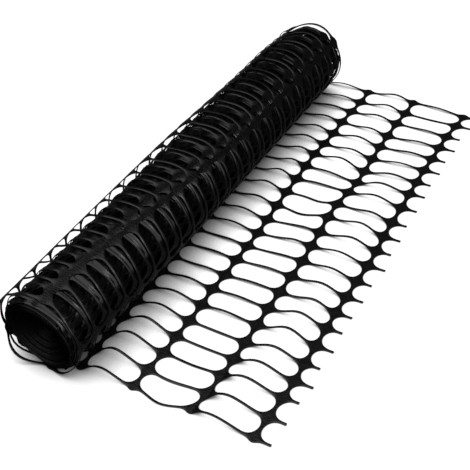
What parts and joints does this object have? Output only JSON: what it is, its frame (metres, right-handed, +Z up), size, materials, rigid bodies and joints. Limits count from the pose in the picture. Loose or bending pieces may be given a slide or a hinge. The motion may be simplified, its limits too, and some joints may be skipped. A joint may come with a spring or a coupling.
{
  "type": "plastic mesh fencing",
  "caption": "Black plastic barrier mesh with oval slots, wound in a roll that lies on its side, with its loose end run out flat on the floor.",
  "frame": {"origin": "on the floor, under the middle of the whole: the roll, its loose outermost turn and the loose end", "axes": "+Y along the roll, from its near end to its far end; +X the way the loose end runs out; +Z up"},
  "size_m": [0.5309, 1.0387, 0.171],
  "materials": {
    "roll_plastic": "black polyethylene with a low gloss",
    "net_plastic": "black polyethylene with a low gloss"
  },
  "bodies": {
    "root": {"wound_roll": "roll_plastic", "outer_turn": "net_plastic", "run_out": "net_plastic"}
  },
  "joints": []
}
